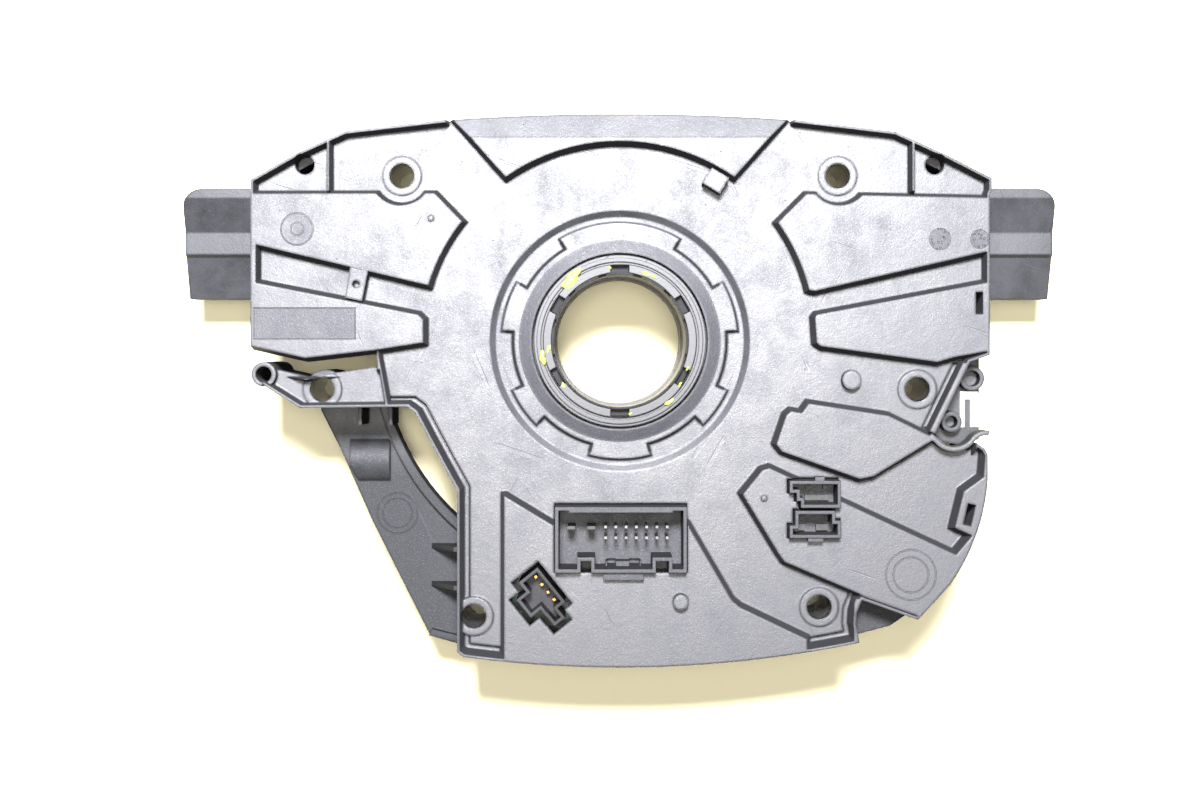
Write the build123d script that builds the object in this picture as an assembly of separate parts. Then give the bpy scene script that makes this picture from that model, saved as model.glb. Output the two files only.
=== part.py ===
from build123d import *

import math
import os

# Steering-column module with a clock spring, in millimetres.
# +Z is the axis of the column and points to the rear face. The hub's front face is at height 0.

# Column bore and turning parts
bore_radius = 16.7
sleeve_inner_radius = 17.3
sleeve_outer_radius = 19.2
collar_radius = 21.6
collar_length = 3.4
collar_step = 0.6
collar_groove_inner = 19.35
collar_groove_outer = 19.9
collar_groove_depth = 0.8
collar_rim_width = 0.7
sleeve_top = 54.4
sleeve_shoulder_radius = 21.4
sleeve_flange_radius = 26.6
sleeve_flange_thickness = 2.4
spool_radius = 23.6
hub_radius = 31.0
hub_wall = 2.2
hub_height = 12.0
hub_rib_count = 12
hub_rib_width = 1.8
rotor_disc_radius = 49.0
rotor_disc_thickness = 2.2
drive_peg_radius = 2.6
drive_peg_circle = 38.0
lug_count = 6
first_lug_angle = 30.0
lug_fit = 0.1
lug_side_gap = 0.15
lug_width = 4.4
lug_depth = 1.7
driver_length = 6.0
driver_wall = 0.5
driver_fit = 0.05
driver_gap_angle = 7.0
driver_gap_offset = 15.0
driver_gap_depth = 2.4
driver_drop = 0.5
lug_height = 1.5
lug_drop = 2.6
hub_rib_bottom = 1.0
rib_root = 0.2
disc_fit = 0.1
code_disc_radius = 37.0
code_disc_thickness = 0.8
code_slot_count = 16
code_slot_length = 3.0
code_slot_width = 2.2
sensor_slot_gap = 0.6

# Clearances
running_gap = 0.4
seat_gap = 0.3
cut_margin = 1.0
weld = 0.01
piercing_gap = 0.35
bore_gap = 0.6

# Heights above the hub's front face
cassette_front = 12.8
cassette_back = 31.0
front_plate_bottom = 21.5
front_plate_thickness = 2.5
front_rim_height = 3.0
split_height = 46.0
board_bottom = 38.0
board_thickness = 1.6
code_disc_height = 42.6
plate_top = 52.0
plate_thickness = 2.5
field_height = 5.0
connector_rim_height = 61.0
small_connector_rim_height = 55.2
stalk_guide_bottom = 13.0

# Walls of the mouldings
wall = 2.2
field_wall = 2.2
rim_width = 1.2
thick_rim_width = 2.0
trough_width = 1.8
trough_depth = 1.8
draft_angle = 11.0
rim_draft_angle = 6.0
trough_draft_angle = 10.0
body_inset = 0.4
edge_reach = 95.0

# Cassette
cassette_radius = 51.4
cassette_wall = 2.0
cassette_floor = 2.0
cassette_flange_radius = 56.4
cassette_flange_thickness = 2.0
cassette_ear_radius = 4.6
cassette_ear_circle = 59.8
cassette_ear_angles = (50, 170, 290)
ribbon_thickness = 0.6
ribbon_turns = 2
ribbon_width = 11.0

# Centre dish of the rear plate
dish_radius = 32.9
dish_depth = 2.8
dish_slope = 1.5
notch_ring_radius = 30.4
notch_radius = 27.4
notch_ring_height = 1.9
notch_ring_lean = 20.0
notch_width_angle = 28
notch_angles = (45.5, 100, 150)
lip_radius = 25.4
lip_rise = 0.9
dish_rim_radius = 36.0
dish_underside = 47.3

# Fixing holes, all along the axis
screw_hole_radius = 3.1
screw_boss_radius = 4.9
screw_collar_height = 0.5
boss_notch_radius = 6.75
upper_holes_half_span = 54.9
upper_holes_y = 41.6
middle_holes_half_span = 75.0
middle_holes_y = -12.2
lower_left_hole = (-36.8, -69.4)
lower_right_hole = (50.25, -67.1)
locating_hole_radius = 2.4
locating_half_span = 79.45
locating_y = 44.4
arm_hole = (-89.4, -8.4)
arm_hole_radius = 2.0
arm_boss_radius = 3.1

# Small features of the rear plate
pocket_ribs_x = (-73.0, 73.4)
pocket_rib_width = 1.6
cube_latch_place = (23.9, 40.0)
cube_latch_height = 6.3
top_slope_start = 50.7
top_slope_end = 58.0
top_slope_drop = 2.6
peg_height = 3.4
floor_peg_place = (58.2, -9.8)
floor_peg_radius = 2.4
field_peg_place = (15.1, -65.0)
field_peg_radius = 1.9

# Connectors on the rear face
main_connector_left = -16.2
main_connector_right = 16.6
main_connector_top = -41.3
main_connector_bottom = -57.65
connector_wall = 0.9
main_connector_floor_thickness = 6.4
pin_pitch = 2.57
pin_columns = 7
pin_size = 0.64
pin_rise = 10.4
first_pin_x = -3.6
pin_rows_y = (-46.6, -49.3)
blade_x = (-12.2, -7.2)
blade_y = -46.8
blade_width = 2.0
blade_thickness = 0.8
small_connector_turn = -51.0
small_connector_centre = (-18.7, -61.9)
small_connector_wall = 0.8
small_connector_floor_thickness = 6.9
small_pin_rise = 4.0
small_pin_pitch = 2.45
small_pin_count = 4

# Switch sockets
switch_socket_left = 42.1
switch_socket_right = 54.8
upper_socket_bottom = -41.5
upper_socket_top = -34.8
lower_socket_bottom = -49.0
lower_socket_top = -42.25
socket_wall = 0.8
switch_socket_floor_thickness = 11.4
socket_tab_reach = 1.0
contact_height = 1.8

# Stalk guides
guide_reach = 113.5
guide_inner_end = 82.0
guide_end_wall = 2.2
guide_corner = 5.0
guide_top_y = 39.6
guide_bottom_y = 11.2

# Bracket, ribs and bay of the front housing
bracket_skin = 2.5
bracket_flange = 1.8
bracket_gusset = 1.3
front_rib_width = 1.6
saddle_radius = 6.6
saddle_rise = 3.0
saddle_place = (-65.5, -31.3)
saddle_length = 10.5
arm_ribs_x = (-66.4, -58.6)
arm_rib_width = 1.0
foot_drop = 2.0
front_rib_angles = (8, 28, 130, 152, 188, 250, 270, 310, 335, 352)
clip_height = 44.0
clip_bay_tubes = ((89.4, -9.5, 3.1), (84.2, -20.5, 2.6))
clip_tube_rise = 5.0
clip_tube_wall = 1.1
clip_thickness = 0.8
cassette_boss_top = 29.0
board_post_radius = 3.2
board_screw_depth = 10.0
board_inset = 3.8
board_gap = 0.5
board_hole_radius = 24.5
pin_tail = 1.2

# Keys of the main connector
main_connector_keys = ((-10.7, -6.3), (8.0, 13.0))
main_connector_key_top = -53.8

# Sockets at the front and in the stalk guides
front_socket_mouth = 1.0
front_socket_floor = 9.0
front_socket_wall = 1.1
front_contact_length = 3.0
airbag_socket_size = (14.0, 9.5)
airbag_contact_count = 2
airbag_contact_pitch = 4.0
wheel_socket_size = (26.0, 9.0)
wheel_contact_count = 8
wheel_contact_pitch = 2.6
stalk_socket_depth = 9.8
stalk_socket_wall = 1.0
stalk_socket_y = (17.0, 33.0)
stalk_socket_z = (16.5, 23.5)

# Screws
screw_head_radius = 3.2
screw_head_height = 2.0
screw_shank_radius = 1.4
screw_hole_gap = 0.1
housing_screw_tip = 50.0
housing_screw_wall = 1.8


def polygon(points):
    """Flat face inside a closed line through the points, facing up whichever way round they run."""
    doubled_area = sum(x1 * y2 - x2 * y1 for (x1, y1), (x2, y2) in zip(points, points[1:] + points[:1]))
    ordered = points if doubled_area > 0 else points[::-1]
    return make_face(Polyline(*ordered, close=True))


def leaning(prism, height, angle):
    """An upright form whose sides are tilted by an angle about their lines at one height."""
    tilted = []
    for solid in prism.solids():
        sides = [side for side in solid.faces() if abs(side.normal_at().Z) < 0.1]
        tilted.append(solid.draft(sides, Plane.XY.offset(height), angle))
    return Part() + tilted


def raised(face, bottom, top, lean=0.0):
    """A flat face raised from one height to another, its sides leaning in by an angle from the bottom up."""
    prism = extrude(Pos(0, 0, bottom) * face, amount=top - bottom, dir=(0, 0, 1))
    return leaning(prism, bottom, lean) if lean else prism


def sunk(face, bottom, top, lean):
    """A flat face cut down between two heights, its sides leaning in by an angle from the top down."""
    return leaning(raised(face, bottom, top), top, -lean)


def grown(face, distance):
    """The face with its outline moved outwards, or inwards where the distance is negative."""
    return offset(face, distance, kind=Kind.INTERSECTION)


def disc(radius, bottom, top, x=0.0, y=0.0):
    """Upright cylinder between two heights."""
    return Pos(x, y, bottom) * extrude(Circle(radius), amount=top - bottom)


def ring(outer, inner, bottom, top, x=0.0, y=0.0):
    """Upright tube between two heights."""
    return Pos(x, y, bottom) * extrude(Circle(outer) - Circle(inner), amount=top - bottom)


def block(left, right, front, back, bottom, top):
    """Box given by its faces along X, Y and Z."""
    size = (right - left, back - front, top - bottom)
    middle = ((left + right) / 2, (front + back) / 2, (bottom + top) / 2)
    return Pos(*middle) * Box(*size)


def sector_face(inner, outer, start, end):
    """Flat part of a ring between two directions, which are counted from +X."""
    middle = math.radians((start + end) / 2)
    directions = [math.radians(start), middle, math.radians(end)]
    far = [(outer * math.cos(a), outer * math.sin(a)) for a in directions]
    near = [(inner * math.cos(a), inner * math.sin(a)) for a in directions]
    edges = ThreePointArc(*far) + Line(far[2], near[2]) + ThreePointArc(*near[::-1]) + Line(near[0], far[0])
    return make_face(edges)


def sector(inner, outer, start, end, bottom, top):
    """Part of a ring between two directions and two heights."""
    return raised(sector_face(inner, outer, start, end), bottom, top)


def on_circle(radius, angle):
    """Point at a radius and a direction from +X."""
    return (radius * math.cos(math.radians(angle)), radius * math.sin(math.radians(angle)))


rotor_screw_angles = (45, 165, 285)
plate_bottom = plate_top - plate_thickness
field_top = plate_top + field_height
board_top = board_bottom + board_thickness
front_plate_top = front_plate_bottom + front_plate_thickness
disc_front = hub_height
disc_back = hub_height + rotor_disc_thickness
housing_bore_radius = collar_radius + bore_gap
front_rim_bottom = front_plate_bottom - front_rim_height
driver_top = sleeve_top - driver_drop
lug_top = driver_top - lug_drop
main_connector_floor = board_top + main_connector_floor_thickness
socket_floor = board_top + switch_socket_floor_thickness
pin_tip_height = main_connector_floor + pin_rise
small_connector_floor = board_top + small_connector_floor_thickness
small_pin_tip_height = small_connector_floor + small_pin_rise
stalk_socket_back = guide_inner_end + guide_end_wall
above_fields = field_top + cut_margin
rotor_screw_circle = (bore_radius + hub_radius) / 2
airbag_socket_places = ((15.0, hub_radius + 6.0), (-15.0, hub_radius + 6.0))
wheel_socket_place = (0.0, -hub_radius - 7.0)

screw_holes = [
    (-upper_holes_half_span, upper_holes_y),
    (upper_holes_half_span, upper_holes_y),
    (-middle_holes_half_span, middle_holes_y),
    (middle_holes_half_span, middle_holes_y),
    lower_left_hole,
    lower_right_hole,
]
housing_screw_places = [(-74.0, 3.0), (72.0, 3.0), (-28.5, -74.0), (72.0, -57.0)]
board_screw_places = [(-62.0, 26.0), (36.0, -62.0)]
screw_hole = screw_shank_radius + screw_hole_gap
housing_screw_boss = screw_hole + housing_screw_wall


def lug_angle(index):
    """Direction of one of the lugs, counted from +X."""
    return first_lug_angle + 360 * index / lug_count


def rotor_screw_places():
    """Places of the screws that join the front disc to the sleeve."""
    return [on_circle(rotor_screw_circle, angle) for angle in rotor_screw_angles]


def plate_outline():
    """Outer outline of the rear plate: arched top, stepped right side, bowed bottom, arm at lower left."""
    top = ThreePointArc((-42.5, 55.45), (0, 56.95), (42.5, 55.45))
    right = Polyline(
        (42.5, 55.45), (69, 52.3), (82.5, 46.1), (93, 40.7), (93, 37.7), (92.5, 36.7), (92.5, -3.55), (87.5, -5.3),
        (78.75, -23.3), (82.5, -26.2), (88.0, -27.6), (89.25, -25.55), (91.25, -27.05), (92, -28.55), (92, -34.8),
    )
    flank = ThreePointArc((92, -34.8), (89.5, -47.3), (82.5, -61.05))
    foot = Polyline((82.5, -61.05), (74.5, -69.8), (60.5, -64.8), (59.2, -68.0), (59.0, -71.0), (59.9, -75.5))
    bottom = ThreePointArc((59.9, -75.5), (7.5, -81.6), (-39.25, -79.05))
    left = Polyline((-39.25, -79.05), (-40.75, -77.8), (-40.75, -37.4))
    waist = ThreePointArc((-40.75, -37.4), (-46.2, -27.5), (-51.2, -18.0))
    arm = Polyline(
        (-51.2, -18.0), (-53.2, -16.5), (-80, -16.8), (-89.0, -11.2), (-91.5, -8.4), (-89.0, -6.4), (-86.25, -7.3),
        (-78.75, -9.05), (-61.25, -6.55), (-61.25, -3.3), (-78.75, -5.3), (-92.4, -2.3), (-92.4, 40.3),
        (-80.5, 47.1), (-68.75, 52.45), (-42.5, 55.45),
    )
    return make_face(top + right + flank + foot + bottom + left + waist + arm)


def boss_notch(x, clearance=0.0):
    """Round notch that a raised field leaves about an upper screw boss."""
    return Pos(x, upper_holes_y) * Circle(boss_notch_radius - clearance)


def upper_left_field():
    """Raised field left of the bore, above the slot."""
    edges = (
        Polyline((-38.25, 29.95), (-46, 37.9), (-edge_reach, 37.8), (-edge_reach, 24.0), (-90.5, 22.95),
                 (-47.25, 12.7))
        + ThreePointArc((-47.25, 12.7), (-43.6, 21.9), (-38.25, 29.95))
    )
    return make_face(edges)


def lower_left_field():
    """Raised field left of the bore, below the slot."""
    return polygon([
        (-90.5, 15.45), (-50, 7.45), (-48.25, 5.7), (-48.25, -1.3), (-61.25, -3.3), (-78.75, -5.3),
        (-edge_reach, -1.7), (-edge_reach, 16.3),
    ])


def upper_right_field():
    """Raised field right of the bore, above the slot."""
    edges = (
        Polyline((46.5, 11.95), (48.75, 11.45), (91.25, 21.2), (edge_reach, 22.0), (edge_reach, 36.7),
                 (46.25, 37.7), (38.25, 29.7))
        + ThreePointArc((38.25, 29.7), (43.1, 21.6), (46.5, 11.95))
    )
    return make_face(edges)


def lower_right_field():
    """Raised field right of the bore, below the slot."""
    return polygon([
        (91.25, 15.45), (48.75, 7.45), (47.75, 6.2), (48.25, -1.05), (50, -2.3), (79.5, -6.3), (83.75, -5.05),
        (88, -4.3), (edge_reach, -3.0), (edge_reach, 16.2),
    ])


def top_field():
    """Raised field along the arched top, hollowed by an arc about the bore."""
    edges = (
        Polyline((28.75, 39.7), (45.5, 58.5), (-45.5, 58.5), (-28.75, 39.7))
        + ThreePointArc((-28.75, 39.7), (0, 49), (28.75, 39.7))
    )
    return make_face(edges)


def tongue_field():
    """Raised tongue right of the dish, below the middle screw hole."""
    return polygon([
        (46.75, -14.6), (67.5, -17.8), (78.75, -23.3), (79.2, -25.4), (63.75, -34.8), (60, -35.55), (40, -28.55),
        (38, -26.05), (40.75, -18.05), (42.5, -16.55), (45, -17.0),
    ])


def switch_field():
    """Raised field at lower right that carries the two switch sockets."""
    return polygon([
        (29.5, -38.3), (35, -31.55), (37.5, -30.8), (83.75, -52.3), (86.5, -49.05), (82.6, -47.3), (85.1, -37.1),
        (90, -33.55), (90.75, -24.0), (edge_reach, -24.0), (edge_reach, -75.0), (74.5, -69.8), (60.5, -64.8),
        (59.2, -64.0), (40.5, -56.05), (38.75, -53.55),
    ])


def connector_field():
    """Raised field along the bottom that carries the main and the small connector."""
    return polygon([
        (-30, -38.05), (-28.5, -37.9), (-16.25, -45.3), (17.5, -45.05), (28.75, -64.3), (30.5, -65.8),
        (47.8, -74.05), (47.8, -90), (-30, -90),
    ])


def band(face, outer_inset, inner_inset):
    """Flat strip along the inside of an outline, between two insets."""
    outer = grown(face, -outer_inset) if outer_inset else face
    return outer - grown(face, -inner_inset)


def rectangle(left, right, front, back):
    """Flat rectangle given by its edges along X and Y."""
    return Pos((left + right) / 2, (front + back) / 2) * Rectangle(right - left, back - front)


def clip_arm():
    """Springy S-shaped arm at the right edge, a thin strip that stands on edge."""
    middle_line = (
        Line((77.6, -23.6), (80.2, -26.0))
        + ThreePointArc((80.2, -26.0), (85.2, -26.9), (88.3, -24.7))
        + ThreePointArc((88.3, -24.7), (90.2, -23.3), (92.3, -23.1))
    )
    return raised(trace(middle_line, rim_width), plate_bottom, field_top)


def small_connector_frame():
    """Place of the turned four-way header: its pins run along the local X axis."""
    return Pos(*small_connector_centre) * Rot(0, 0, small_connector_turn)


def small_connector_outline():
    """Keyed outline of the four-way header: pin chamber, latch chamber below it and a key at the side."""
    return rectangle(-5.2, 5.95, -4.45, 1.65) + rectangle(-2.2, 3.55, -7.6, -4.4) + rectangle(5.9, 9.0, -4.3, -0.9)


def main_connector_cut():
    """Opening in the rear plate for the main connector."""
    return block(main_connector_left - piercing_gap, main_connector_right + piercing_gap,
                 main_connector_bottom - piercing_gap, main_connector_top + piercing_gap,
                 split_height, above_fields)


def upper_socket_steps():
    """Steps of the upper switch socket, each as left, right, front and back."""
    left, right = switch_socket_left, switch_socket_right
    return [
        (left, right, -37.8, upper_socket_top),
        (left + 1.75, right, -39.8, -37.7),
        (left + 2.8, right, upper_socket_bottom, -39.7),
    ]


def lower_socket_steps():
    """Steps of the lower switch socket, each as left, right, front and back."""
    left, right = switch_socket_left, switch_socket_right
    return [
        (left, right, lower_socket_bottom, -45.9),
        (left + 1.4, right, -46.0, -44.7),
        (left + 1.4, right - 1.4, -44.8, lower_socket_top),
    ]


def switch_socket_cut():
    """Opening in the rear plate that follows the steps of both switch sockets."""
    outline = Sketch() + [rectangle(*step) for step in upper_socket_steps() + lower_socket_steps()]
    outline += rectangle(switch_socket_left + 3.0, switch_socket_right - 1.5, -43.0, -41.0)
    return raised(grown(outline, piercing_gap), split_height, above_fields)


def dish_parts():
    """What the sunk dish about the bore adds to the plate and takes from it."""
    floor = plate_top - dish_depth
    ring_top = floor + notch_ring_height
    low = (Align.CENTER, Align.CENTER, Align.MIN)
    recess = Pos(0, 0, floor) * Cone(dish_radius - dish_slope, dish_radius, dish_depth, align=low)
    notched = Sketch() + Circle(notch_ring_radius)
    for side in (-1, 1):
        for angle in notch_angles:
            middle = 90 + side * angle
            half = notch_width_angle / 2
            notched -= sector_face(notch_radius, dish_radius, middle - half, middle + half)
    lip = Pos(0, 0, ring_top) * Cone(lip_radius, housing_bore_radius + 0.2, lip_rise, align=low)
    seat = disc(dish_rim_radius, dish_underside, plate_top)
    opening = disc(housing_bore_radius, dish_underside, field_top)
    return seat, recess, raised(notched, floor, ring_top, notch_ring_lean) + lip, opening


def rim_face(outline):
    """Raised rims along the outline, running out past it so that the outline can trim them."""
    sheet = rectangle(-edge_reach - 5, edge_reach + 5, -90, 65)
    face = sheet - grown(outline, -rim_width)
    face -= rectangle(-edge_reach - 6, -61.25, -9.0, -1.0)
    face -= rectangle(-43, 43, 50, 66)
    face -= rectangle(76, 88.6, -29, -23.6)
    thick = sheet - grown(outline, -thick_rim_width)
    face += thick & rectangle(77, 88, -23.3, -5)
    face += thick & rectangle(58, 61.5, -77, -64)
    face += polygon([(-61.4, -2.5), (-60.0, -2.5), (-57.3, -17.0), (-59.0, -17.0)])
    for x in pocket_ribs_x:
        face += rectangle(x - pocket_rib_width / 2, x + pocket_rib_width / 2, 37.0, 50.6)
    return face


def trough_face(outline):
    """Troughs that run inside the rims at the waist, the right edge and the lower screw holes."""
    face = band(outline, rim_width, rim_width + trough_width)
    places = [
        rectangle(-58.8, -30.0, -80, -14),
        rectangle(76.0, 87.0, -22.0, -5.5),
        rectangle(47.8, 61.0, -77.0, -62.5),
    ]
    return [face & place for place in places]


def rear_housing():
    """Moulded rear plate: floor, raised hollow fields, rims, bosses, pegs, clip arm and centre dish."""
    outline = plate_outline()
    envelope = raised(outline, plate_top, field_top)
    notches = [boss_notch(-upper_holes_half_span), boss_notch(upper_holes_half_span)]
    fields = [upper_left_field() - notches[0], lower_left_field(), upper_right_field() - notches[1],
              lower_right_field(), top_field(), tongue_field(), switch_field(), connector_field()]
    edge_walls = [rectangle(-edge_reach, -90.5, 14, 25), rectangle(91.25, edge_reach, 14, 23)]

    seat, recess, notched_ring, dish_opening = dish_parts()
    housing = raised(outline, plate_bottom, plate_top) + seat
    housing += raised(band(outline, 0, wall), split_height, plate_bottom)
    top_forms = [raised(field, plate_top, field_top, draft_angle) for field in fields]
    top_forms += [raised(edge, plate_top, field_top, rim_draft_angle) for edge in edge_walls]
    top_forms.append(raised(rim_face(outline), plate_top, field_top, rim_draft_angle))
    raised_forms = (Part() + top_forms) & envelope
    housing += raised_forms
    tab = polygon([(-67.5, 18.4), (-63, 17.4), (-64.5, 9.9), (-68.75, 10.8)])
    latch = Pos(*cube_latch_place) * Rot(0, 0, -31) * Rectangle(5.0, 4.5)
    added = [
        raised(tab, plate_top, field_top),
        raised(latch, plate_top, plate_top + cube_latch_height),
        clip_arm(),
    ]
    column = raised(outline, split_height, field_top)
    added += [column & disc(screw_boss_radius, split_height, plate_top + screw_collar_height, x, y)
              for x, y in screw_holes]
    added += [disc(housing_screw_boss, split_height, plate_top, x, y) for x, y in housing_screw_places]
    arm_x, arm_y = arm_hole
    added.append(disc(arm_boss_radius, split_height, field_top - 2, arm_x, arm_y))
    added += [disc(locating_hole_radius + 1.4, split_height, plate_bottom, side * locating_half_span, locating_y)
              for side in (-1, 1)]
    added.append(disc(floor_peg_radius, plate_top, plate_top + peg_height, *floor_peg_place))
    added.append(disc(field_peg_radius, field_top, field_top + peg_height, *field_peg_place))
    added += [disc(0.75, field_top, field_top + 0.6, x, y) for x, y in ((-47.25, 30.7), (36.0, -39.3))]
    slope = Plane.YZ * polygon([(top_slope_start, above_fields), (top_slope_start, field_top),
                                (top_slope_end, field_top - top_slope_drop), (top_slope_end, above_fields)])
    housing -= [extrude(slope, amount=43, both=True), recess]
    housing += added + [notched_ring]

    room = grown(outline, -wall)
    pockets = [grown(field, -field_wall - 0.6) & room for field in (
        upper_left_field(), lower_left_field(), upper_right_field(), lower_right_field(), tongue_field(),
        switch_field(), connector_field())]
    pockets[0] -= boss_notch(-upper_holes_half_span, -field_wall)
    pockets[2] -= boss_notch(upper_holes_half_span, -field_wall)
    bosses = [Pos(x, y) * Circle(screw_boss_radius) for x, y in screw_holes]
    bosses += [Pos(x, y) * Circle(housing_screw_boss) for x, y in housing_screw_places]
    cuts = [raised(pocket - bosses, plate_bottom - weld, field_top - field_wall) for pocket in pockets]
    bosses_above = [disc(screw_boss_radius, split_height, field_top, x, y) for x, y in screw_holes]
    cuts += [sunk(face, plate_top - trough_depth, plate_top + weld, trough_draft_angle) - bosses_above
             for face in trough_face(outline)]
    cuts.append(dish_opening)
    cuts += [disc(screw_hole_radius, split_height, above_fields, x, y) for x, y in screw_holes]
    cuts += [disc(locating_hole_radius, split_height, above_fields, side * locating_half_span, locating_y)
             for side in (-1, 1)]
    cuts.append(disc(arm_hole_radius, split_height, field_top, arm_x, arm_y))
    cuts += [disc(screw_hole, split_height, housing_screw_tip + 1, x, y) for x, y in housing_screw_places]
    cuts.append(disc(0.9, field_top - 3, above_fields, -66.0, 14.2))
    cuts.append(block(89.0, 90.75, 6.7, 12.2, split_height, above_fields))
    window = Pos(87.4, -43.5) * Rot(0, 0, -13) * Rectangle(2.0, 5.4)
    cuts.append(raised(window, split_height, above_fields))
    cuts += [main_connector_cut(), switch_socket_cut()]
    small_cut = small_connector_frame() * grown(small_connector_outline(), 1.3)
    cuts.append(raised(small_cut, split_height, above_fields))
    return housing - cuts


def bracket_face():
    """Outline of the open bracket at lower left, hollowed by an arc about the bore."""
    edges = (
        Polyline((-62.3, -18.2), (-62.3, -15.0), (-78.5, -15.0), (-78.5, -18.2), (-73.2, -28.8), (-65, -47.3),
                 (-49.7, -77.7), (-42.8, -79.6), (-39.0, -79.0), (-39.0, -51.1), (-40.0, -51.1))
        + ThreePointArc((-40.0, -51.1), (-54.4, -35.35), (-62.3, -18.2))
    )
    return make_face(edges)


def bracket():
    """Thin bracket that reaches from the arm to the foot, with an edge flange, an arc rib and gussets."""
    face = bracket_face()
    skin = front_plate_top
    top = skin + bracket_skin
    form = raised(face, skin, top) + raised(band(face, 0, bracket_flange), front_rim_bottom, skin + weld)
    form += sector(62.9, 65.2, 195, 229.5, front_rim_bottom + 1.5, top + 2.5)
    inside = raised(grown(face, -1.0), skin, top + 5)
    saddle = Rot(0, 90, 0) * Cylinder(saddle_radius, saddle_length)
    saddle = Pos(*saddle_place, top + saddle_rise - saddle_radius) * saddle
    form += saddle & inside
    form += [block(x - arm_rib_width / 2, x + arm_rib_width / 2, -21.5, -15.5, top - 0.1, split_height - foot_drop)
             for x in arm_ribs_x]
    for y in (-53.9, -63.9):
        side = Plane.XZ * polygon([(-49.4, top - 0.1), (-39.5, top - 0.1), (-39.5, 38.0), (-42.8, 38.0)])
        form += Pos(0, y, 0) * extrude(side, amount=bracket_gusset / 2, both=True)
    lip = polygon([(-49.9, -77.3), (-42.0, -79.2), (-42.0, -77.4), (-49.2, -75.6)])
    form += raised(lip, skin, top + 2.5)
    return form


def guide_profile():
    """Cross-section of a stalk guide, drawn as Y against height."""
    return polygon([
        (guide_bottom_y, stalk_guide_bottom), (guide_top_y, stalk_guide_bottom), (guide_top_y, 35.5), (37.2, 35.5),
        (28.4, 31.0), (22.7, 31.0), (21.9, 29.6), (guide_bottom_y, 24.5),
    ])


def guide(side, face, inner_end, outer_end):
    """The guide's cross-section carried along X between two distances from the middle."""
    start = inner_end if side > 0 else -outer_end
    return Pos(start, 0, 0) * extrude(Plane.YZ * face, amount=outer_end - inner_end)


def stalk_guide(side):
    """Outside of a stalk guide with its outer corner rounded."""
    form = guide(side, guide_profile(), guide_inner_end, guide_reach)
    corner = form.edges().filter_by(Axis.Z).sort_by(lambda edge: side * edge.center().X + edge.center().Y)[-1]
    return fillet(corner, guide_corner)


def clip_bay():
    """Outline of the bay at the right edge where the spring clip lies."""
    return polygon([(78.0, -22.5), (86.0, -5.0), (92.0, -4.0), (92.0, -25.0), (88.2, -26.9), (82.5, -25.6)])


def front_housing():
    """Moulded tub: front plate, edge wall, screw tubes, stalk guides, clip bay and the open bracket."""
    outline = grown(plate_outline(), -body_inset)
    passage = Circle(cassette_radius + seat_gap)
    flange_room = Circle(cassette_flange_radius + running_gap)
    housing = raised(outline - passage, front_plate_bottom, front_plate_top)
    housing += raised(band(outline, 0, wall), front_plate_top, split_height)
    housing += raised(band(outline, 0, wall) - flange_room, front_rim_bottom, front_plate_bottom)
    below = raised(outline, front_rim_bottom, front_plate_bottom)
    ribs = []
    for angle in front_rib_angles:
        rib = rectangle(cassette_flange_radius + 2, guide_reach, -front_rib_width / 2, front_rib_width / 2)
        ribs.append(raised(Rot(0, 0, angle) * rib, front_rim_bottom, front_plate_bottom) & below)
    housing += ribs
    housing += bracket()
    foot = polygon([(57.0, -64.0), (74.0, -69.6), (72.6, -70.5), (69.1, -72.9), (60.5, -75.1), (57.0, -75.0)])
    housing += raised(foot, front_plate_bottom, split_height - foot_drop)
    housing += [stalk_guide(side) for side in (-1, 1)]
    bay = clip_bay()
    housing += raised(bay, clip_height - 2.0, clip_height)
    housing += raised(band(bay, 0, wall), front_plate_top, clip_height)
    housing += [disc(screw_boss_radius, front_plate_bottom, split_height, x, y) for x, y in screw_holes]
    housing += [disc(housing_screw_boss, front_plate_bottom, split_height, x, y) for x, y in housing_screw_places]
    housing += [disc(board_post_radius, front_plate_bottom, board_bottom, x, y) for x, y in board_screw_places]
    ears = [on_circle(cassette_ear_circle, angle) for angle in cassette_ear_angles]
    housing += [disc(screw_head_radius, front_plate_bottom, cassette_boss_top, x, y) for x, y in ears]
    housing += [disc(arm_boss_radius, front_plate_bottom, split_height, *arm_hole)]
    housing += [disc(radius, clip_height - weld, clip_height + clip_tube_rise, x, y)
                for x, y, radius in clip_bay_tubes]

    hollow = grown(guide_profile(), -wall)
    cuts = [guide(side, hollow, guide_inner_end + guide_end_wall, guide_reach + 1) for side in (-1, 1)]
    cuts += [disc(screw_hole_radius, front_rim_bottom - 1, split_height + 1, x, y) for x, y in screw_holes]
    cuts += [disc(screw_hole, front_rim_bottom - 1, split_height + 1, x, y) for x, y in housing_screw_places]
    cuts += [disc(screw_head_radius + seat_gap, front_rim_bottom - 1, front_plate_bottom, x, y)
             for x, y in housing_screw_places]
    cuts += [disc(screw_hole, board_bottom - board_screw_depth, board_bottom + 1, x, y)
             for x, y in board_screw_places]
    cuts += [disc(screw_hole, front_rim_bottom - 1, cassette_boss_top - 0.5, x, y) for x, y in ears]
    cuts.append(disc(arm_hole_radius, front_rim_bottom - 1, split_height + 1, *arm_hole))
    cuts += [disc(radius - clip_tube_wall, clip_height, clip_height + clip_tube_rise + cut_margin, x, y)
             for x, y, radius in clip_bay_tubes]
    cuts.append(disc(cassette_radius + seat_gap, front_plate_top - 1, cassette_back + seat_gap))
    return housing - cuts


def spring_clip():
    """Slotted steel plate that lies in the bay at the right edge."""
    plate = rectangle(87.0, 91.7, -22.0, -12.9) - rectangle(88.1, 89.6, -23.0, -14.9)
    return raised(plate, clip_height, clip_height + clip_thickness)


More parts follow.
